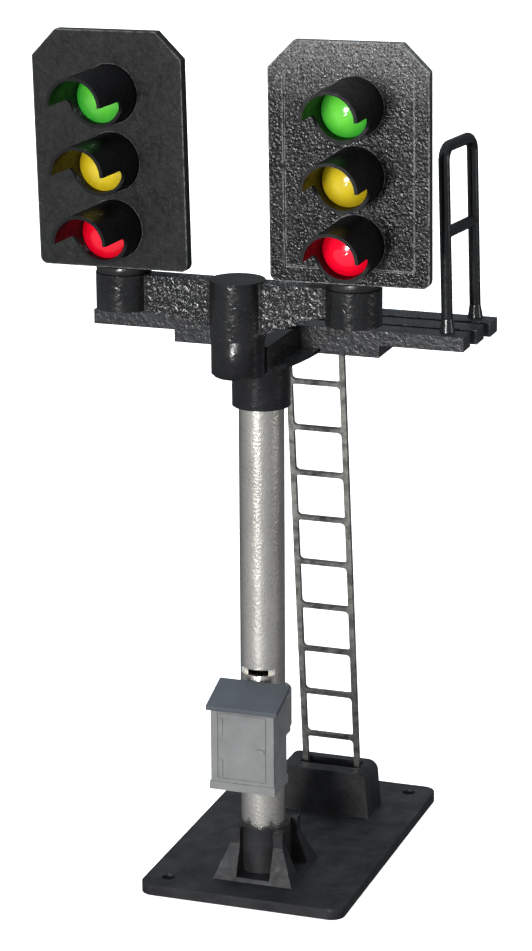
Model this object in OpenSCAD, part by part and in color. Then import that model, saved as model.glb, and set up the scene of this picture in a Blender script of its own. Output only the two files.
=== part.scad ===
// Two-headed model signal mast: tube post on a cast base, twin three-light heads,
// plank platform with a hand rail, ladder and a clip-on relay cabinet.
// Millimetres, +Z up. The heads face -Y. The origin is the post axis on the base underside.

/* [Base] */
// Width of the base plate across X
base_w = 15.3; // [14.6:0.1:18]
// Distance from the post axis to the front edge of the base
base_front = 5.7; // [5.2:0.1:7]
// Distance from the post axis to the rear edge of the base
base_rear = 18.5; // [17:0.1:22]
// Thickness of the base plate
base_t = 0.8; // [0.6:0.1:1.2]
// Diameter of the two fixing holes
fix_hole_d = 1; // [0.8:0.1:1.6]
// Inset of the fixing holes from the two nearest edges
fix_inset = 1.7; // [1.5:0.1:2]
// Width of the square pedestal at its foot
pedestal_foot = 6; // [5.4:0.1:7]
// Width of the square pedestal at its top
pedestal_top = 3.96; // [3.9:0.02:4.6]
// Height of the pedestal top above the base underside
pedestal_z = 4.5; // [4.2:0.1:5]
// Diameter of the wire duct through the base
duct_d = 1.8; // [1.4:0.1:2]

/* [Mast tube] */
// Outer diameter of the mast tube
tube_od = 3.2; // [3:0.05:3.4]
// Inner diameter of the mast tube
tube_id = 2.48; // [2.2:0.02:2.6]
// Height of the top of the mast tube
tube_top = 38.4; // [37.8:0.1:38.8]

/* [Bracket and beam] */
// Outer diameter of the collar on the mast tube
collar_d = 4.1; // [3.9:0.02:4.16]
// Height of the underside of the collar
collar_z = 35.6; // [34.5:0.1:36.5]
// Height of the underside of the bracket arm
arm_z = 39.05; // [38.9:0.05:39.3]
// Distance that the row of bosses stands in front of the post axis
boss_reach = 5.4; // [5:0.1:6]
// Diameter of the three bosses
boss_d = 3.8; // [3.5:0.05:4]
// Distance from the centre boss to each outer boss
boss_spread = 8.2; // [7.8:0.1:8.6]
// Height of the top of the beam
beam_top = 45.7; // [45.2:0.1:46]
// Thickness of the webs between the bosses
web_t = 1.5; // [1.1:0.1:1.8]

/* [Platform] */
// Length of the shortest, front plank
deck_len = 27.2; // [25:0.1:29]
// Width of each plank
plank_w = 1.8; // [1.7:0.05:2]
// Gap between planks
plank_gap = 0.6; // [0.5:0.05:0.9]
// Extra length at the rail end of each plank behind the front one
plank_step = 0.3; // [0:0.05:0.4]
// Height of the top of the planks
deck_z = 40.9; // [40.7:0.05:41]
// Height of the hand rail above the planks
rail_h = 13.2; // [12:0.05:14]
// Diameter of the hand rail wire
rail_d = 0.8; // [0.5:0.05:0.8]

/* [Ladder] */
// Distance between the centres of the two stiles
stile_gap = 4.05; // [3.4:0.05:4.1]
// Height from one rung to the next
rung_pitch = 3.55; // [3.3:0.05:3.6]
// Width of a stile
stile_w = 0.4; // [0.3:0.02:0.44]
// Thickness of the ladder from front to back
ladder_t = 0.4; // [0.3:0.05:0.6]

/* [Signal heads] */
// Width of a head's backboard
head_w = 10.93; // [10.43:0.1:11.53]
// Height of a head's backboard
head_h = 16; // [15.8:0.05:16.4]
// Thickness of a backboard
board_t = 0.8; // [0.6:0.1:1]
// Size of the sloping top corners
head_corner = 1.8; // [1.4:0.1:2.2]
// Distance from one light to the next
light_pitch = 4.55; // [4.4:0.01:4.7]
// Outer diameter of a visor
visor_d = 3.92; // [3.8:0.02:4.1]
// Length of the full ring at the foot of a visor
ring_len = 2; // [1.8:0.1:2.6]
// Length of the hood over the upper half of a light
visor_len = 5.55; // [4.55:0.1:6.05]
// Diameter of a light's lens
lens_d = 3.4; // [3.2:0.05:3.4]
// How far the left head is turned about its boss, in degrees
left_turn = -3.5; // [-8:0.5:8]
// How far the right head is turned about its boss, in degrees
right_turn = 1; // [-8:0.5:8]

/* [Relay cabinet] */
// Width of the cabinet
box_w = 4.7; // [4.4:0.1:5]
// Height of the underside of the cabinet
box_z = 8.35; // [6:0.05:12]
// Height of the cabinet's front face
box_h = 6; // [5.5:0.1:6.5]
// Depth of the cabinet in front of the tube
box_d = 2.82; // [2.6:0.02:3.2]

/* [Hidden] */
$fn = 64;

eps = 0.01;         // overlap that joins two shapes cleanly
slip = 0.03;        // radial clearance of a turning or sliding fit
seat = 0.02;        // gap under a turning flange

tube_foot = 1;      // height of the tube's lower end in its socket
base_x = 0.05;      // centre of the base plate
pedestal_x = 0.2;
pedestal_y = -0.2;
pedestal_neck = 3.35; // height at which the pedestal starts to flare
pedestal_sill = 0.3;
flute_w = 2.5;      // width of the recess in each pedestal face
flute_core_r = 1.95;

block_x = 0.75;     // centre of the ladder block
block_w = 7;
block_z = 4.3;
block_y = [10.9, 14.2];
slot_y = [12.05, 13.45];
slot_half = 2.3;
slot_floor = 3.45;

notch_z = 16.05;    // saw cut above the cabinet that lets the leads out of the tube
notch_h = 0.42;
notch_depth = 0.6;

deck_x = 0.3;       // centre of the front plank
deck_y = 2.1;       // front face of the front plank
plank_t = 1.03;
plank_pitch = plank_w + plank_gap;
deck_rear = deck_y + 2 * plank_pitch + plank_w;
bearer_len = 15.1;
bearer_z = arm_z - 0.08;
bearer_inset = 0.1;
deck_under = deck_z - plank_t;

arm_x = 0.2;        // centre of the bracket arm
arm_half = 1.95;
arm_flange_t = 0.28;
// right edge of the arm's flange, from the boss to the platform
arm_edge = [[1.55, -4.8], [1.9, -3.7], [2.55, -2.75], [2.95, -1.2], [3.2, 0.4], [3.35, deck_y - 0.02]];
arm_top = 41;
beam_shift = 0.25;  // centre boss to the right of the post axis
boss_r = boss_d / 2;
boss_seam = 41.73;  // joint between the bracket socket and the beam
outer_boss_foot = 43.2;
web_foot = [42.5, 42.15]; // lowest edge of the left and right webs, at the centre boss
web_rise = [43.2, 43.65]; // the same edges at the outer bosses
stem_r = 0.9;
stem_bore_r = 0.5;
stem_foot = 44.35;
boss_floor = 43.5;   // floor of the hole in an outer boss
wire_way_z = 43.95;  // wire way through the webs, below the stems

head_z = 46.3;      // underside of the backboards
face_reach = 1.9;   // backboard front face ahead of the boss axis
left_shift = 0.15;  // centre of each backboard beside its boss
right_shift = 0.24;
flange_t = 0.54;
left_light_x = 0.2; // centre of the lights beside the backboard's middle
right_light_x = 0.39;
low_light = 2.68;   // height of the red light above the backboard's underside
panel_inset = 1.05; // rim round the sunk front panel of the right backboard
panel_depth = 0.15;
left_lean = 1.3;
right_lean = 0.6;
cover_w = 7.4;
cover_h = 14.4;
cover_corner = 1.35;
cover_depth = 3.2;
cover_wall = 0.5;

lens_gap = 0.03;
locate_len = 0.4;
visor_fillet = 0.9; // curve that carries the hood's lower edge down into the ring
right_ring = 0.6;   // extra length of the rings and lenses on the right head

rung_h = 0.32;
first_rung = 6.5;
rungs = 10;
ladder_x = 1;
ladder_foot_y = 12.75;
ladder_lean = 0.12; // forward run for each millimetre of height
ladder_angle = atan(ladder_lean);

rail_front = [12.4, 3.36];
rail_rear = [13.06, 8.12];
rail_lean = 1.8;    // degrees towards -X
rail_mid = 6.92;    // height of the middle rail above the planks
rail_bend = 0.95;

box_back = -tube_od / 2 - 0.08;
box_front = box_back - box_d;
roof_over = 0.3;
roof_lip = 0.22;
roof_t = 0.35;
roof_rise = 1;
clip_r = tube_od / 2 + slip;
clip_wall = 0.42;
clip_z = [box_z + 3.55, box_z + box_h + 0.25];

black_plastic = [0.06, 0.06, 0.06];
aluminium = [0.7, 0.69, 0.66];
nickel = [0.55, 0.54, 0.5];
cabinet_grey = [0.55, 0.56, 0.55];
roof_grey = [0.33, 0.35, 0.38];
board_green = [0.1, 0.3, 0.15];
lamp_colours = [[0.85, 0.1, 0.15], [0.85, 0.7, 0.1], [0.2, 0.75, 0.2]];

function light_z(index) = low_light + index * light_pitch;

// A flat rectangle, centred on X and Y, with true arcs at its four corners
module round_rect(width, height, radius) {
    square([width - 2 * radius, height], center = true);
    square([width, height - 2 * radius], center = true);
    for (x = [-1, 1], y = [-1, 1])
        translate([x * (width / 2 - radius), y * (height / 2 - radius)]) circle(radius);
}

// Lays a flat outline, drawn as X and Z, on a vertical plane and gives it depth towards +Y
module upright(depth) {
    translate([0, depth, 0]) rotate([90, 0, 0]) linear_extrude(depth) children();
}

// Lays a flat outline, drawn as Y and Z, across X with its width centred
module across(width) {
    translate([-width / 2, 0, 0]) rotate([90, 0, 90]) linear_extrude(width) children();
}

// ---------------------------------------------------------------- base

module pedestal_side() {
    foot = pedestal_foot / 2;
    top = pedestal_top / 2;
    polygon([[-foot, base_t - eps], [foot, base_t - eps], [top, pedestal_neck], [top, pedestal_z],
        [-top, pedestal_z], [-top, pedestal_neck]]);
}

// Square pedestal that flares at the foot, with a wide flute in each face round a cylindrical core
module pedestal() {
    translate([pedestal_x, pedestal_y, 0]) difference() {
        intersection() {
            translate([0, -pedestal_foot / 2, 0]) upright(pedestal_foot) pedestal_side();
            across(pedestal_foot) pedestal_side();
        }
        for (turn = [0:90:270]) rotate([0, 0, turn])
            translate([-flute_w / 2, -pedestal_foot, base_t + pedestal_sill])
                cube([flute_w, pedestal_foot - 1.2, pedestal_z - pedestal_sill]);
    }
    translate([0, 0, base_t - eps]) cylinder(r = flute_core_r, h = pedestal_z - base_t + eps);
}

module ladder_block() {
    corner = 0.8;
    side = block_w / 2;
    difference() {
        translate([block_x, block_y[0], 0]) upright(block_y[1] - block_y[0]) {
            polygon([[-side - 0.25, base_t - eps], [side + 0.25, base_t - eps],
                [side, block_z - corner], [-side, block_z - corner]]);
            translate([0, block_z - corner]) square([2 * (side - corner), 2 * corner], center = true);
            for (end = [-1, 1]) translate([end * (side - corner), block_z - corner]) circle(corner);
        }
        translate([ladder_x - slot_half, slot_y[0], slot_floor])
            cube([2 * slot_half, slot_y[1] - slot_y[0], block_z]);
    }
}

module base_plate() {
    length = base_front + base_rear;
    color(black_plastic) difference() {
        union() {
            translate([base_x, (base_rear - base_front) / 2, 0])
                linear_extrude(base_t) round_rect(base_w, length, 1);
            pedestal();
            ladder_block();
        }
        translate([0, 0, tube_foot]) cylinder(d = tube_od, h = pedestal_z);
        translate([0, 0, -1]) cylinder(d = duct_d, h = tube_foot + 2);
        translate([base_x - base_w / 2 + fix_inset, 0.1 + fix_inset - base_front, -1])
            cylinder(d = fix_hole_d, h = 4);
        translate([base_x + base_w / 2 - 0.15 - fix_inset, base_rear + 0.2 - fix_inset, -1])
            cylinder(d = fix_hole_d, h = 4);
    }
}

// ---------------------------------------------------------------- mast

module mast_tube() {
    color(aluminium) difference() {
        translate([0, 0, tube_foot]) cylinder(d = tube_od, h = tube_top - tube_foot);
        translate([0, 0, tube_foot - 1]) cylinder(d = tube_id, h = tube_top);
        // saw cut that shows above the cabinet
        translate([-tube_od, -tube_od / 2 - 1, notch_z]) cube([2 * tube_od, 1 + notch_depth, notch_h]);
        // slot behind the cabinet for the leads
        translate([-0.5, -tube_od, box_z + 3.8]) cube([1, tube_od, 2]);
    }
}

module arm_flange() {
    last = len(arm_edge) - 1;
    translate([arm_x, 0])
        polygon(concat(arm_edge, [for (i = [last:-1:0]) [-arm_edge[i][0], arm_edge[i][1]]]));
}

module mast_bracket() {
    socket_r = boss_r - 0.07;
    chamfer = 0.2;
    color(black_plastic) difference() {
        union() {
            translate([0, 0, collar_z]) cylinder(d = collar_d, h = arm_z - collar_z + 1);
            translate([beam_shift, -boss_reach, arm_z]) {
                cylinder(r1 = socket_r - chamfer, r2 = socket_r, h = chamfer);
                translate([0, 0, chamfer - eps]) cylinder(r = socket_r, h = boss_seam - arm_z - chamfer + eps);
            }
            translate([0, 0, arm_z]) linear_extrude(arm_flange_t) arm_flange();
            // rib along the arm
            translate([arm_x, 0, 0]) across(2 * arm_half)
                polygon([[-boss_reach + 0.6, arm_z], [deck_y - 0.02, arm_z], [deck_y - 0.02, arm_top - 0.5],
                    [deck_y - 1.6, arm_top], [-boss_reach + 0.6, arm_top]]);
            // tongue that plugs into the platform's bearer
            translate([-1.5, deck_y - 0.1, bearer_z + 0.2]) cube([3, 3.1, 0.5]);
        }
        translate([0, 0, collar_z - 1]) cylinder(d = tube_od, h = tube_top - collar_z + 1);
        translate([0, 0, tube_top - eps]) cylinder(d = tube_id, h = 1.6);
        // wire channel from the tube to the socket
        translate([-0.6, -boss_reach, arm_z + 0.35]) cube([1.2, boss_reach, 0.6]);
        translate([beam_shift, -boss_reach, arm_z + 0.35]) cylinder(r = 1, h = 4);
    }
}

// A web between the centre boss and the outer boss on one side, deeper at the centre
module web(side) {
    end = side < 0 ? 0 : 1;
    translate([0, -web_t / 2, 0]) upright(web_t)
        polygon([[0, web_foot[end]], [side * boss_r, web_foot[end]],
            [side * (boss_spread - boss_r), web_rise[end]], [side * boss_spread, web_rise[end]],
            [side * boss_spread, beam_top - 0.05], [0, beam_top - 0.05]]);
}

module head_beam() {
    color(black_plastic) translate([beam_shift, -boss_reach, 0]) difference() {
        union() {
            translate([0, 0, boss_seam]) cylinder(r = boss_r, h = beam_top - boss_seam);
            translate([0, 0, boss_seam - 1.9]) cylinder(r = 1, h = 2);
            for (side = [-1, 1]) {
                translate([side * boss_spread, 0, outer_boss_foot])
                    cylinder(r = boss_r, h = beam_top - outer_boss_foot);
                web(side);
            }
        }
        for (side = [-1, 1]) translate([side * boss_spread, 0, boss_floor]) cylinder(r = stem_r + slip, h = 5);
        // wire way from the socket up the centre boss and out to both outer bosses
        translate([0, 0, boss_seam - 3]) cylinder(r = 0.6, h = wire_way_z - boss_seam + 3.3);
        translate([-boss_spread, 0, wire_way_z]) rotate([0, 90, 0]) cylinder(r = 0.35, h = 2 * boss_spread);
    }
}

// ---------------------------------------------------------------- platform

// Places the hoop's frame: X runs from the front post to the rear post, Z along the leaning posts
module place_rail() {
    heading = atan2(rail_rear[1] - rail_front[1], rail_rear[0] - rail_front[0]);
    translate([rail_front[0], rail_front[1], deck_z])
        rotate([0, -rail_lean, 0]) rotate([0, 0, heading]) children();
}

module platform_deck() {
    color(black_plastic) difference() {
        union() {
            for (row = [0:2])
                translate([deck_x - deck_len / 2, deck_y + row * plank_pitch, deck_under])
                    cube([deck_len + row * plank_step, plank_w, plank_t]);
            translate([deck_x - bearer_len / 2, deck_y + bearer_inset, bearer_z])
                cube([bearer_len, deck_rear - deck_y - 2 * bearer_inset, deck_under - bearer_z + eps]);
        }
        // pocket for the bracket's tongue
        translate([-1.52, deck_y - 1, bearer_z + 0.19]) cube([3.04, 4.05, 0.52]);
        // holes for the hand rail's feet
        place_rail() for (x = [0, norm(rail_rear - rail_front)]) translate([x, 0, -2 * plank_t])
            cylinder(d = rail_d + 0.02, h = 3 * plank_t);
    }
}

// Quarter of a ring of wire, in the X and Z plane, from straight down to straight across
module wire_bend() {
    rotate([90, 0, 0]) rotate_extrude(angle = 90) translate([rail_bend, 0]) circle(d = rail_d, $fn = 32);
}

module hand_rail() {
    span = norm(rail_rear - rail_front);
    straight = rail_h - rail_bend - rail_d / 2;
    foot_h = 0.9;
    color(black_plastic) place_rail() {
        for (x = [0, span]) translate([x, 0, 0]) {
            translate([0, 0, 0.05 - plank_t]) cylinder(d = rail_d, h = straight + plank_t - 0.05, $fn = 32);
            translate([0, 0, 0.04]) cylinder(r1 = 0.54, r2 = rail_d / 2, h = foot_h, $fn = 32);
        }
        translate([span - rail_bend, 0, straight]) wire_bend();
        translate([rail_bend, 0, straight]) mirror([1, 0, 0]) wire_bend();
        translate([rail_bend, 0, straight + rail_bend]) rotate([0, 90, 0])
            cylinder(d = rail_d, h = span - 2 * rail_bend, $fn = 32);
        translate([0, 0, rail_mid]) rotate([0, 90, 0]) cylinder(d = rail_d, h = span, $fn = 32);
    }
}

// ---------------------------------------------------------------- ladder

module ladder() {
    stretch = 1 / cos(ladder_angle);
    length = (bearer_z - 0.11 - slot_floor) * stretch;
    rung_at = [for (i = [0:rungs - 1]) (first_rung + i * rung_pitch - slot_floor) * stretch];
    foot_y = ladder_foot_y + (block_z - slot_floor) * ladder_lean;
    clear_w = stile_gap - stile_w;
    color(nickel) translate([ladder_x, foot_y + ladder_t / 2, slot_floor + 0.06]) rotate([90 + ladder_angle, 0, 0])
        linear_extrude(ladder_t) difference() {
            translate([-(stile_gap + stile_w) / 2, 0]) square([stile_gap + stile_w, length]);
            for (i = [1:rungs - 1]) translate([0, (rung_at[i - 1] + rung_at[i]) / 2])
                round_rect(clear_w, rung_at[i] - rung_at[i - 1] - rung_h, 0.3);
            translate([0, (rung_at[0] - rung_h / 2) / 2 - 1]) round_rect(clear_w, rung_at[0] - rung_h / 2 + 2, 0.3);
            translate([-clear_w / 2, rung_at[rungs - 1] + rung_h / 2]) square([clear_w, 2]);
        }
}

// ---------------------------------------------------------------- relay cabinet

module cabinet_side() {
    polygon([[box_front, box_z], [box_back, box_z], [box_back, box_z + box_h + roof_rise],
        [box_front, box_z + box_h]]);
}

module relay_case() {
    wall = 0.45;
    door_w = 3.7;
    color(cabinet_grey) difference() {
        union() {
            across(box_w) cabinet_side();
            // plinth
            translate([-box_w / 2 - 0.1, box_front - 0.1, box_z]) cube([box_w + 0.2, box_d + 0.1, 0.6]);
            // hinges and latch
            for (z = [0.95, 4.1]) translate([-1.65, box_front - 0.08, box_z + z]) cube([0.2, 0.2, 1.3]);
            translate([1.1, box_front - 0.12, box_z + 3.05]) cube([0.55, 0.2, 0.3]);
            // cheeks and spring clip round the tube
            for (side = [-1, 1]) translate([side * (box_w / 2 - 0.3) - 0.3, box_back - 0.5, clip_z[0]])
                cube([0.6, 1.4, clip_z[1] - clip_z[0]]);
            translate([0, 0, clip_z[0]]) cylinder(r = clip_r + clip_wall, h = clip_z[1] - clip_z[0]);
        }
        // bore that grips the tube, open at the rear
        translate([0, 0, clip_z[0] - 1]) cylinder(r = clip_r, h = clip_z[1] - clip_z[0] + 2);
        translate([-1.1, 0.6, clip_z[0] - 1]) cube([2.2, 4, clip_z[1] - clip_z[0] + 2]);
        // hollow inside, open towards the tube for the leads
        translate([-box_w / 2 + wall, box_front + wall, box_z + wall])
            cube([box_w - 2 * wall, box_d - 2 * wall, box_h - wall]);
        translate([-0.6, box_back - 1, box_z + 3.8]) cube([1.2, 2, 1.6]);
        // door groove
        difference() {
            translate([-door_w / 2, box_front - 0.1, box_z + 0.85]) cube([door_w, 0.17, box_h - 1]);
            translate([-door_w / 2 + 0.12, box_front - 0.2, box_z + 0.97]) cube([door_w - 0.24, 0.4, box_h - 1.24]);
        }
    }
}

module relay_roof() {
    front = box_front - roof_lip;
    slope = roof_rise / box_d;
    low = box_z + box_h - roof_lip * slope + 0.01;
    high = box_z + box_h + roof_rise + 0.01;
    color(roof_grey) across(box_w + 2 * roof_over)
        polygon([[front, low], [box_back, high], [box_back, high + roof_t], [front, low + roof_t]]);
}

// ---------------------------------------------------------------- heads
// A head is drawn about its backboard's middle: X across, Z from the backboard's underside,
// with its boss axis at Y zero.

function head_shift(side) = side < 0 ? left_shift : right_shift;

module place_head(side) {
    turn = side < 0 ? left_turn : right_turn;
    translate([beam_shift + side * boss_spread, -boss_reach, 0]) rotate([0, 0, turn]) children();
}

module lean_head(side) {
    lean = side < 0 ? left_lean : right_lean;
    place_head(side) translate([head_shift(side), 0, head_z]) rotate([0, -lean, 0]) children();
}

// Stands children on a light's axis at the board's face, with +Z pointing out of the board
module at_light(side, index) {
    x = side < 0 ? left_light_x : right_light_x;
    translate([x, -face_reach, light_z(index)]) rotate([90, 0, 0]) children();
}

module board_outline() {
    half = head_w / 2;
    corner = 0.5;
    polygon([[-half, corner], [half, corner], [half, head_h - head_corner],
        [half - head_corner, head_h], [head_corner - half, head_h], [-half, head_h - head_corner]]);
    translate([corner - half, 0]) square([head_w - 2 * corner, 2 * corner]);
    for (end = [-1, 1]) translate([end * (half - corner), corner]) circle(corner);
}

// Outline of the sunk panel, an equal distance inside the backboard's edges
module panel_outline() {
    half = head_w / 2 - panel_inset;
    corner = head_corner - 0.6 * panel_inset;
    top = head_h - panel_inset;
    polygon([[-half, panel_inset], [half, panel_inset], [half, top - corner], [half - corner, top],
        [corner - half, top], [-half, top - corner]]);
}

module backboard(side) {
    color(black_plastic) lean_head(side) difference() {
        translate([0, -face_reach, 0]) upright(board_t) board_outline();
        if (side > 0) translate([0, -face_reach - 1, 0]) upright(1 + panel_depth) panel_outline();
        for (i = [0:2]) at_light(side, i) {
            translate([0, 0, -3]) cylinder(d = lens_d + 0.08, h = 4);
            translate([0, 0, -locate_len]) cylinder(d = visor_d + 0.02, h = locate_len + 1);
        }
    }
}

// Outline of a rear cover, drawn inset from its outside
module cover_outline(inset) {
    half = cover_w / 2 - inset;
    top = cover_h - inset;
    polygon([[-half, 0.02 + inset], [half, 0.02 + inset], [half, top - cover_corner], [half - cover_corner, top],
        [cover_corner - half, top], [-half, top - cover_corner]]);
}

module rear_cover(side) {
    color(black_plastic) lean_head(side) difference() {
        translate([0, board_t - face_reach, 0]) difference() {
            upright(cover_depth) cover_outline(0);
            translate([0, -1, 0]) upright(cover_depth + 1 - cover_wall) cover_outline(cover_wall);
        }
        translate([-head_shift(side), 0, -1]) cylinder(r = stem_r + 0.01, h = 2.5);
    }
}

module stem(side) {
    color(black_plastic) place_head(side) difference() {
        union() {
            translate([0, 0, beam_top + seat]) cylinder(r = boss_r - 0.05, h = flange_t);
            translate([0, 0, stem_foot]) cylinder(r = stem_r, h = head_z + 0.6 - stem_foot);
        }
        translate([0, 0, stem_foot - 1]) cylinder(r = stem_bore_r, h = 8);
    }
}

module led_board(side) {
    color(board_green) lean_head(side) translate([-3.1, board_t - face_reach + 1.6, 1]) cube([6.2, 0.4, 11.5]);
}

module resistors(side) {
    color("dimgray") lean_head(side) for (i = [0:2])
        translate([-2.4, board_t - face_reach + 2.0, light_z(i) - 0.9]) cube([0.8, 0.35, 1.6]);
}

// A tube let into the backboard, cut back to its upper half beyond the foot ring
module visor(side, index) {
    extra = side < 0 ? 0 : right_ring;
    ring = ring_len + extra;
    hood = visor_len + extra / 3;
    color(black_plastic) lean_head(side) at_light(side, index) difference() {
        translate([0, 0, -locate_len]) cylinder(d = visor_d, h = hood + locate_len);
        translate([0, 0, -1]) cylinder(d = lens_d + 2 * lens_gap, h = hood + 2);
        translate([-4, -8, ring]) cube([8, 8 - visor_fillet, hood]);
        translate([-4, -8, ring + visor_fillet]) cube([8, 8, hood]);
        translate([-4, -visor_fillet, ring + visor_fillet]) rotate([0, 90, 0]) cylinder(r = visor_fillet, h = 8);
    }
}

// Lens with a domed front, its flange behind the backboard, and two leads into the board
module led(side, index) {
    reach = side < 0 ? 1.75 : 1.75 + right_ring;
    dome = side < 0 ? 0.35 : 0.75;
    radius = lens_d / 2;
    sphere_r = (radius * radius + dome * dome) / (2 * dome);
    color(lamp_colours[index]) lean_head(side) at_light(side, index) {
        translate([0, 0, -1.9]) cylinder(r = radius, h = 1.9 + reach - dome);
        translate([0, 0, -1.4]) cylinder(r = radius + 0.2, h = 0.5);
        intersection() {
            translate([0, 0, reach - dome - eps]) cylinder(r = radius, h = dome + 1);
            translate([0, 0, reach - sphere_r]) sphere(sphere_r);
        }
        for (x = [-0.6, 0.6]) translate([x, 0, -2.4]) cylinder(r = 0.15, h = 0.6);
    }
}

// ---------------------------------------------------------------- assembly

base_plate();
mast_tube();
mast_bracket();
head_beam();
platform_deck();
hand_rail();
ladder();
relay_case();
relay_roof();
backboard(-1);  // left_backboard
rear_cover(-1);  // left_rear_cover
stem(-1);  // left_stem
led_board(-1);  // left_led_board
resistors(-1);  // left_resistors
visor(-1, 2);  // left_visor_green
visor(-1, 1);  // left_visor_yellow
visor(-1, 0);  // left_visor_red
led(-1, 2);  // left_led_green
led(-1, 1);  // left_led_yellow
led(-1, 0);  // left_led_red
backboard(1);  // right_backboard
rear_cover(1);  // right_rear_cover
stem(1);  // right_stem
led_board(1);  // right_led_board
resistors(1);  // right_resistors
visor(1, 2);  // right_visor_green
visor(1, 1);  // right_visor_yellow
visor(1, 0);  // right_visor_red
led(1, 2);  // right_led_green
led(1, 1);  // right_led_yellow
led(1, 0);  // right_led_red
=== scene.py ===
import math

import bpy
from mathutils import Matrix, Vector

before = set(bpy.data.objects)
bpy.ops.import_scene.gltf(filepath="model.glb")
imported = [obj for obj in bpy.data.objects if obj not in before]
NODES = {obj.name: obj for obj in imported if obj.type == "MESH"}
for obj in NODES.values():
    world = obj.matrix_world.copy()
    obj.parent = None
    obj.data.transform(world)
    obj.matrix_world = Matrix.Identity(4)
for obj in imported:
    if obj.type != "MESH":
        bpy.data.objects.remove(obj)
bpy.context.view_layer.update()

MM = 0.001

# Camera, in millimetres and degrees, in the model's own frame
CAMERA_AT = (70.75, -200.92, 93.59)
CAMERA_YAW = 19.32
CAMERA_DOWN = 16.52
CAMERA_ROLL = -0.30
CAMERA_LENS = 120.2
SENSOR_HEIGHT = 36.0
CLIP_NEAR = 0.001
CLIP_FAR = 100.0

# Floor: its width in metres, its tone, and the glow that keeps it white to the camera
FLOOR_SIZE = 60.0
FLOOR_TONE = (0.85, 0.85, 0.85)
FLOOR_GLOW = 0.75

# Soft room light: its level, how that changes along each axis, its least level and its tint
ROOM_LEVEL = 0.27
ROOM_LEAN = (-0.03, -0.25, 0.16)
ROOM_DARKEST = 0.11
ROOM_TINT = (0.95, 0.99, 1.06)

# The head beam's bosses along X, in millimetres, and how much of the webs' grain they keep; of the webs'
# painted glints they keep this to the fourth power
BEAM_SHIFT = 0.25
BOSS_SPREAD = 8.2
BOSS_RADIUS = 1.9
BOSS_GRAIN = 0.45

# Modifiers that round a node's edges: metres and degrees
WELD_DISTANCE = 0.000002
FLAT_ANGLE = 0.4
EDGE_ANGLE = 35.0


# ------------------------------------------------------------ camera, floor and light

def make_camera():
    yaw, down, roll = (math.radians(a) for a in (CAMERA_YAW, CAMERA_DOWN, CAMERA_ROLL))
    forward = Vector((-math.sin(yaw) * math.cos(down), math.cos(yaw) * math.cos(down), -math.sin(down)))
    right = Vector((math.cos(yaw), math.sin(yaw), 0.0))
    up = right.cross(forward)
    rolled_right = right * math.cos(roll) + up * math.sin(roll)
    rolled_up = up * math.cos(roll) - right * math.sin(roll)
    data = bpy.data.cameras.new("camera")
    data.sensor_fit = "VERTICAL"
    data.sensor_height = SENSOR_HEIGHT
    data.lens = CAMERA_LENS
    data.clip_start = CLIP_NEAR
    data.clip_end = CLIP_FAR
    camera = bpy.data.objects.new("camera", data)
    bpy.context.collection.objects.link(camera)
    camera.matrix_world = Matrix((
        (rolled_right.x, rolled_up.x, -forward.x, CAMERA_AT[0] * MM),
        (rolled_right.y, rolled_up.y, -forward.y, CAMERA_AT[1] * MM),
        (rolled_right.z, rolled_up.z, -forward.z, CAMERA_AT[2] * MM),
        (0.0, 0.0, 0.0, 1.0),
    ))
    bpy.context.scene.camera = camera


def make_floor():
    """A white sheet under the model that shows to the camera and doesn't mirror in it."""
    bpy.ops.mesh.primitive_plane_add(size=FLOOR_SIZE, location=(0, 0, 0))
    floor = bpy.context.object
    floor.name = "floor"
    material = bpy.data.materials.new("floor")
    material.use_nodes = True
    shader = material.node_tree.nodes["Principled BSDF"]
    shader.inputs["Base Color"].default_value = (*FLOOR_TONE, 1)
    shader.inputs["Roughness"].default_value = 1.0
    shader.inputs["Specular IOR Level"].default_value = 0.0
    shader.inputs["Emission Color"].default_value = (1, 1, 1, 1)
    shader.inputs["Emission Strength"].default_value = FLOOR_GLOW
    floor.data.materials.append(material)
    floor.visible_diffuse = False
    floor.visible_glossy = False
    floor.visible_transmission = False


def add_lamp(name, at, size, power, target, shiny=True, diffuse=1.0, tint=(1.0, 1.0, 1.0)):
    """A square area lamp: positions in millimetres, size in metres, power in watts."""
    data = bpy.data.lights.new(name, "AREA")
    data.size = size
    data.energy = power
    data.color = tint
    data.diffuse_factor = diffuse
    lamp = bpy.data.objects.new(name, data)
    bpy.context.collection.objects.link(lamp)
    lamp.location = Vector(at) * MM
    lamp.rotation_euler = (Vector(target) - Vector(at)).to_track_quat("-Z", "Y").to_euler()
    lamp.visible_glossy = shiny


def add_lamps():
    """A small lamp in front, and weaker light from above, behind and the right."""
    add_lamp("key", (-37, -450, 72), 0.08, 1.35, (0, 0, 45))
    add_lamp("top", (-100, 150, 700), 0.5, 5.0, (0, 0, 30), shiny=False, tint=(0.82, 0.94, 1.0))
    add_lamp("rear_fill", (-300, 450, 160), 0.4, 1.2, (0, 0, 30), shiny=False)
    add_lamp("side_fill", (450, 20, 60), 0.15, 0.25, (0, 0, 30), diffuse=0.0)


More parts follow.
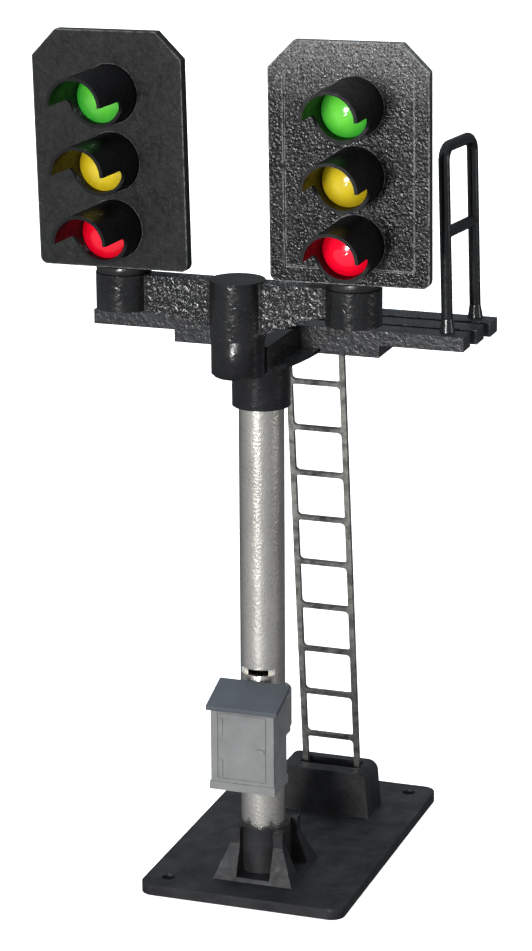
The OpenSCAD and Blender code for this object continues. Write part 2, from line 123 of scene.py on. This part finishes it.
def make_world():
    """Soft room light: brightest in front and above, dim behind."""
    world = bpy.data.worlds.new("room")
    bpy.context.scene.world = world
    world.use_nodes = True
    tree = world.node_tree
    background = tree.nodes["Background"]
    direction = tree.nodes.new("ShaderNodeTexCoord")
    lean = tree.nodes.new("ShaderNodeVectorMath")
    lean.operation = "DOT_PRODUCT"
    lean.inputs[1].default_value = ROOM_LEAN
    tree.links.new(direction.outputs["Generated"], lean.inputs[0])
    level = tree.nodes.new("ShaderNodeMath")
    level.operation = "ADD"
    level.inputs[1].default_value = ROOM_LEVEL
    tree.links.new(lean.outputs["Value"], level.inputs[0])
    at_least = tree.nodes.new("ShaderNodeMath")
    at_least.operation = "MAXIMUM"
    at_least.inputs[1].default_value = ROOM_DARKEST
    tree.links.new(level.outputs[0], at_least.inputs[0])
    background.inputs["Color"].default_value = (*ROOM_TINT, 1)
    tree.links.new(at_least.outputs[0], background.inputs["Strength"])


# ------------------------------------------------------------ materials

class Paint:
    """A procedural material whose patterns are laid out in millimetres on the model."""

    def __init__(self, name):
        self.material = bpy.data.materials.new(name)
        self.material.use_nodes = True
        self.tree = self.material.node_tree
        self.shader = self.tree.nodes["Principled BSDF"]
        place = self.tree.nodes.new("ShaderNodeTexCoord")
        self.generated = place.outputs["Generated"]
        self.point = self.stretch((1 / MM, 1 / MM, 1 / MM), place.outputs["Object"])

    def node(self, kind, inputs, output=0, **settings):
        made = self.tree.nodes.new("ShaderNode" + kind)
        for key, value in settings.items():
            setattr(made, key, value)
        for key, value in inputs.items():
            if isinstance(value, bpy.types.NodeSocket):
                self.tree.links.new(value, made.inputs[key])
            else:
                made.inputs[key].default_value = value
        return made.outputs[output]

    def stretch(self, scale, point=None):
        return self.node("VectorMath", {0: point or self.point, 1: scale}, operation="MULTIPLY")

    def noise(self, size, detail=2.0, point=None, distortion=0.0):
        """Soft noise with features about size millimetres across."""
        return self.node("TexNoise", {"Vector": point or self.point, "Scale": 1 / size,
                                      "Detail": detail, "Distortion": distortion})

    def fit(self, value, low, high, to_low=0.0, to_high=1.0):
        """Carries the range low to high over to the range to_low to to_high, and stops at its ends."""
        return self.node("MapRange", {"Value": value, "From Min": low, "From Max": high,
                                      "To Min": to_low, "To Max": to_high})

    def math(self, operation, a, b):
        return self.node("Math", {0: a, 1: b}, operation=operation)

    def blend(self, factor, first, second):
        """The first colour where factor is 0, and the second where it is 1."""
        return self.node("Mix", {0: factor, 6: (*first, 1) if isinstance(first, tuple) else first,
                                 7: (*second, 1) if isinstance(second, tuple) else second},
                         output=2, data_type="RGBA")

    def bump(self, height, depth, normal=None):
        """A bump whose height input of 1 stands depth millimetres proud."""
        inputs = {"Height": height, "Distance": depth * MM, "Strength": 1.0}
        if normal is not None:
            inputs["Normal"] = normal
        return self.node("Bump", inputs)

    def edges(self, radius):
        """1 on edges sharper than a curve of radius millimetres, 0 on flat surfaces."""
        rounded = self.node("Bevel", {"Radius": radius * MM}, samples=6)
        normal = self.node("NewGeometry", {}, output="Normal")
        agreement = self.node("VectorMath", {0: rounded, 1: normal}, output="Value",
                              operation="DOT_PRODUCT")
        return self.fit(agreement, 0.995, 0.92)

    def between_bosses(self):
        """1 on the webs of the head beam, and BOSS_GRAIN on its three bosses."""
        x = self.node("SeparateXYZ", {"Vector": self.point}, output="X")
        from_boss = self.math("PINGPONG", self.math("SUBTRACT", x, BEAM_SHIFT), BOSS_SPREAD / 2)
        return self.fit(from_boss, BOSS_RADIUS, BOSS_RADIUS + 0.1, BOSS_GRAIN, 1.0)

    def height(self, low, high):
        """0 below low and 1 above high, in millimetres above the floor."""
        z = self.node("SeparateXYZ", {"Vector": self.point}, output="Z")
        return self.fit(z, low, high)

    def finish(self, **sockets):
        """Fills the shader's sockets: links a node's output, and sets anything else directly."""
        long_names = {"Specular": "Specular IOR Level", "Coat": "Coat Weight", "Metal": "Metallic",
                      "Subsurface": "Subsurface Weight"}
        for key, value in sockets.items():
            name = long_names.get(key, key.replace("_", " "))
            if isinstance(value, bpy.types.NodeSocket):
                self.tree.links.new(value, self.shader.inputs[name])
            else:
                self.shader.inputs[name].default_value = value
        return self.material


def black_plastic(name, shade, rough, grain, grain_size, painted_glint=0.0, specular=0.5, painted_edge_highlight=0.0, painted_top_highlight=None,
                  smooth_bosses=False):
    """Moulded black plastic: mottled tone, uneven gloss and a spark-eroded grain.

    grain is the grain's depth and grain_size its width, in millimetres. The glint, edge and top-highlight
    strengths paint light into the colour: pale flecks as painted glints off the grain, pale edges as
    painted highlights where edges catch the light, and a pale bloom as a painted highlight on the upper
    part, given as where it starts and is full, in millimetres above the floor, and its strength.
    smooth_bosses weakens grain and the painted glints on the bosses.
    """
    paint = Paint(name)
    fine = paint.noise(0.11)
    lumps = paint.noise(grain_size, 1.5, distortion=0.4)
    tone = paint.blend(paint.fit(paint.noise(1.6, 3.0), 0.35, 0.65),
                       tuple(c * 0.75 for c in shade), tuple(c * 1.35 for c in shade))
    webs = paint.between_bosses() if smooth_bosses else None
    # Pale flecks painted into the colour: painted glints off the spark-eroded grain.
    if painted_glint:
        spots = paint.fit(paint.noise(0.15), 0.56, 0.72)
        if webs:
            spots = paint.math("MULTIPLY", spots, paint.math("POWER", webs, 4.0))
        tone = paint.blend(paint.math("MULTIPLY", spots, painted_glint), tone, (0.5, 0.5, 0.5))
    # Pale edges painted into the colour: painted highlights where the edges catch the light.
    if painted_edge_highlight:
        patches = paint.fit(paint.noise(0.5, 3.0), 0.36, 0.58, 0.1, painted_edge_highlight)
        tone = paint.blend(paint.math("MULTIPLY", paint.edges(0.16), patches), tone, (0.6, 0.6, 0.58))
    # A pale bloom painted on the upper part: a painted highlight, lighter towards the top.
    if painted_top_highlight:
        start, full, strength = painted_top_highlight
        patches = paint.fit(fine, 0.35, 0.65, 0.0, strength)
        top_highlight_mask = paint.math("MULTIPLY", paint.height(start, full), patches)
        tone = paint.blend(top_highlight_mask, tone, (0.40, 0.39, 0.37))
    if webs:
        lumps = paint.math("MULTIPLY", lumps, webs)
    gloss = paint.fit(paint.noise(0.5), 0.3, 0.7, rough - 0.07, rough + 0.1)
    return paint.finish(Base_Color=tone, Roughness=gloss, Specular=specular,
                        Normal=paint.bump(fine, 0.006, paint.bump(lumps, grain)))


def satin_tube(name):
    """Drawn aluminium tube: long fine scratches, a sparkling grain and a faint blotchy tarnish."""
    paint = Paint(name)
    scratches = paint.noise(0.05, 3.0, paint.stretch((1.0, 1.0, 0.02)))
    cloud = paint.noise(2.2, 4.0, paint.stretch((1.0, 1.0, 0.6)))
    grain = paint.noise(0.17)
    tone = paint.blend(paint.fit(cloud, 0.3, 0.7), (0.78, 0.74, 0.66), (0.90, 0.86, 0.78))
    pits = paint.fit(grain, 0.3, 0.45, 0.3, 0.0)
    tone = paint.blend(pits, tone, (0.30, 0.28, 0.25))
    uneven = paint.math("ADD", paint.math("MULTIPLY", scratches, 0.6), paint.math("MULTIPLY", cloud, 0.4))
    gloss = paint.fit(uneven, 0.3, 0.7, 0.22, 0.34)
    return paint.finish(Base_Color=tone, Roughness=gloss, Metal=1.0,
                        Normal=paint.bump(grain, 0.022, paint.bump(scratches, 0.004)))


def weathered_metal(name):
    """Nickel silver dulled by handling, darker in blotches."""
    paint = Paint(name)
    cloud = paint.noise(0.7, 4.0)
    tone = paint.blend(paint.fit(cloud, 0.35, 0.62), (0.20, 0.19, 0.175), (0.60, 0.58, 0.53))
    gloss = paint.fit(cloud, 0.3, 0.7, 0.5, 0.32)
    return paint.finish(Base_Color=tone, Roughness=gloss, Metal=1.0,
                        Normal=paint.bump(paint.noise(0.12, 3.0), 0.02))


def cabinet_paint(name, shade, tint):
    """Brushed-on enamel: faint mottle between two tones and a slight orange peel."""
    paint = Paint(name)
    tone = paint.blend(paint.fit(paint.noise(1.3, 4.0), 0.3, 0.7), tuple(c * 0.9 for c in shade), tint)
    gloss = paint.fit(paint.noise(0.6), 0.3, 0.7, 0.42, 0.58)
    peel = paint.bump(paint.noise(0.35), 0.012)
    return paint.finish(Base_Color=tone, Roughness=gloss, Specular=0.4,
                        Normal=paint.bump(paint.noise(0.08, 1.0), 0.003, peel))


def lamp_lens(name, edge, core, painted_glow):
    """Tinted epoxy lamp: lighter towards the middle, with a clear gloss skin and a painted glow of its own
    colour.
    """
    paint = Paint(name)
    centred = paint.node("VectorMath", {0: paint.generated, 1: (0.5, 0.5, 0.5)}, operation="SUBTRACT")
    flat = paint.node("VectorMath", {0: centred, 1: (1.0, 0.0, 1.0)}, operation="MULTIPLY")
    radius = paint.node("VectorMath", {0: flat}, output="Value", operation="LENGTH")
    swirl = paint.math("ADD", radius, paint.fit(paint.noise(0.5, 3.0), 0.0, 1.0, -0.04, 0.04))
    tone = paint.blend(paint.fit(swirl, 0.12, 0.46), core, edge)
    # The emission is a painted glow that stands in for light caught in the epoxy, lighter in the middle.
    return paint.finish(Base_Color=tone, Roughness=0.16, Specular=0.5, Coat=0.6, Coat_Roughness=0.05,
                        Subsurface=0.35, Subsurface_Scale=1.0,
                        Subsurface_Radius=(0.6 * MM, 0.6 * MM, 0.6 * MM),
                        Emission_Color=tone, Emission_Strength=painted_glow,
                        Normal=paint.bump(paint.noise(0.4), 0.008))


def board_mask(name):
    """Green solder mask over a faint weave."""
    paint = Paint(name)
    weave = paint.noise(0.15, 1.0)
    tone = paint.blend(paint.fit(paint.noise(1.0, 3.0), 0.3, 0.7), (0.015, 0.10, 0.04), (0.03, 0.16, 0.06))
    return paint.finish(Base_Color=tone, Roughness=paint.fit(weave, 0.3, 0.7, 0.25, 0.4),
                        Normal=paint.bump(weave, 0.01))


def chip_body(name):
    """Gritty black ceramic."""
    paint = Paint(name)
    grit = paint.noise(0.08)
    tone = paint.blend(paint.fit(grit, 0.35, 0.65), (0.02, 0.02, 0.02), (0.05, 0.05, 0.05))
    return paint.finish(Base_Color=tone, Roughness=paint.fit(grit, 0.3, 0.7, 0.45, 0.65),
                        Normal=paint.bump(grit, 0.01))


# ------------------------------------------------------------ pieces

def dress(node, material, bevel=0.0):
    """Gives a CAD node its material, and rounds its sharp edges by bevel millimetres."""
    piece = NODES[node]
    piece.data.materials.clear()
    piece.data.materials.append(material)
    if not bevel:
        return
    weld = piece.modifiers.new("weld", "WELD")
    weld.merge_threshold = WELD_DISTANCE
    merge = piece.modifiers.new("merge", "DECIMATE")
    merge.decimate_type = "DISSOLVE"
    merge.angle_limit = math.radians(FLAT_ANGLE)
    rounding = piece.modifiers.new("edges", "BEVEL")
    rounding.width = bevel * MM
    rounding.segments = 2
    rounding.limit_method = "ANGLE"
    rounding.angle_limit = math.radians(EDGE_ANGLE)
    rounding.harden_normals = True
    flat = piece.modifiers.new("flat_faces", "WEIGHTED_NORMAL")
    flat.keep_sharp = True


def dress_mast():
    dress("base_plate", bevel=0.1, material=black_plastic(
        "base_black", (0.020, 0.0202, 0.021), rough=0.45, grain=0.05, grain_size=1.1, specular=0.3))
    dress("mast_bracket", bevel=0.06, material=black_plastic(
        "bracket_black", (0.009, 0.009, 0.0095), rough=0.24, grain=0.02, grain_size=0.35, specular=0.4))
    # The beam's pale flecks are painted glints on its webs, weaker on the bosses.
    dress("head_beam", bevel=0.06, material=black_plastic(
        "beam_black", (0.010, 0.010, 0.010), rough=0.22, grain=0.09, grain_size=0.36, painted_glint=0.75,
        specular=0.42, smooth_bosses=True))
    # Faint pale flecks on the deck: painted glints.
    dress("platform_deck", bevel=0.06, material=black_plastic(
        "platform_black", (0.022, 0.0225, 0.024), rough=0.32, grain=0.05, grain_size=0.3, painted_glint=0.05,
        specular=0.45))
    dress("hand_rail", black_plastic(
        "rail_black", (0.010, 0.010, 0.010), rough=0.2, grain=0.01, grain_size=0.8))
    dress("mast_tube", satin_tube("tube_aluminium"), 0.04)
    dress("ladder", weathered_metal("ladder_metal"), 0.05)


def dress_cabinet():
    dress("relay_case", cabinet_paint("cabinet_grey", (0.25, 0.25, 0.245), (0.28, 0.28, 0.275)), 0.05)
    # The roof is the case's grey painted darker and bluer: painted shade on its upward faces, which the
    # front lamp barely reaches.
    dress("relay_roof", cabinet_paint("roof_grey", (0.085, 0.095, 0.107), (0.096, 0.107, 0.122)), 0.05)


def dress_heads():
    # Both heads carry painted glints and painted edge highlights; the right head also a painted highlight
    # on its upper part, from 58 mm up and full at 62 mm.
    boards = {
        "left": black_plastic("left_head_black", (0.009, 0.009, 0.0085), rough=0.36, grain=0.012,
                              grain_size=0.4, painted_glint=0.04, specular=0.32, painted_edge_highlight=0.5),
        "right": black_plastic("right_head_black", (0.007, 0.0068, 0.0065), rough=0.22, grain=0.05,
                               grain_size=0.2, painted_glint=0.12, specular=0.24, painted_edge_highlight=0.7, painted_top_highlight=(58.0, 62.0, 0.6)),
    }
    cover = black_plastic("cover_black", (0.015, 0.015, 0.015), rough=0.42, grain=0.015, grain_size=0.4)
    stem = black_plastic("stem_black", (0.014, 0.014, 0.014), rough=0.3, grain=0.02, grain_size=0.35)
    visor = black_plastic("visor_black", (0.0045, 0.0045, 0.005), rough=0.45, grain=0.006, grain_size=0.4,
                          specular=0.2)
    circuit = board_mask("circuit_green")
    chip = chip_body("chip_black")
    # each lens: its rim, its middle, and the strength of its painted glow on the left and the right head
    lenses = {"green": ((0.03, 0.36, 0.03), (0.16, 0.70, 0.06), {"left": 0.13, "right": 0.32}),
              "yellow": ((0.45, 0.32, 0.006), (0.85, 0.66, 0.03), {"left": 0.22, "right": 0.12}),
              "red": ((0.62, 0.0, 0.012), (1.0, 0.005, 0.03), {"left": 0.28, "right": 0.58})}
    for side, board in boards.items():
        dress(side + "_backboard", board, 0.07)
        dress(side + "_rear_cover", cover, 0.1)
        dress(side + "_stem", stem, 0.05)
        dress(side + "_led_board", circuit, 0.03)
        dress(side + "_resistors", chip, 0.03)
        for colour, (edge, core, painted_glow) in lenses.items():
            dress(side + "_visor_" + colour, visor, 0.03)
            lens = lamp_lens(side + "_" + colour + "_lens", edge, core, painted_glow[side])
            dress(side + "_led_" + colour, lens)


make_camera()
make_floor()
make_world()
bpy.context.scene.view_settings.view_transform = "Standard"
add_lamps()
dress_mast()
dress_cabinet()
dress_heads()
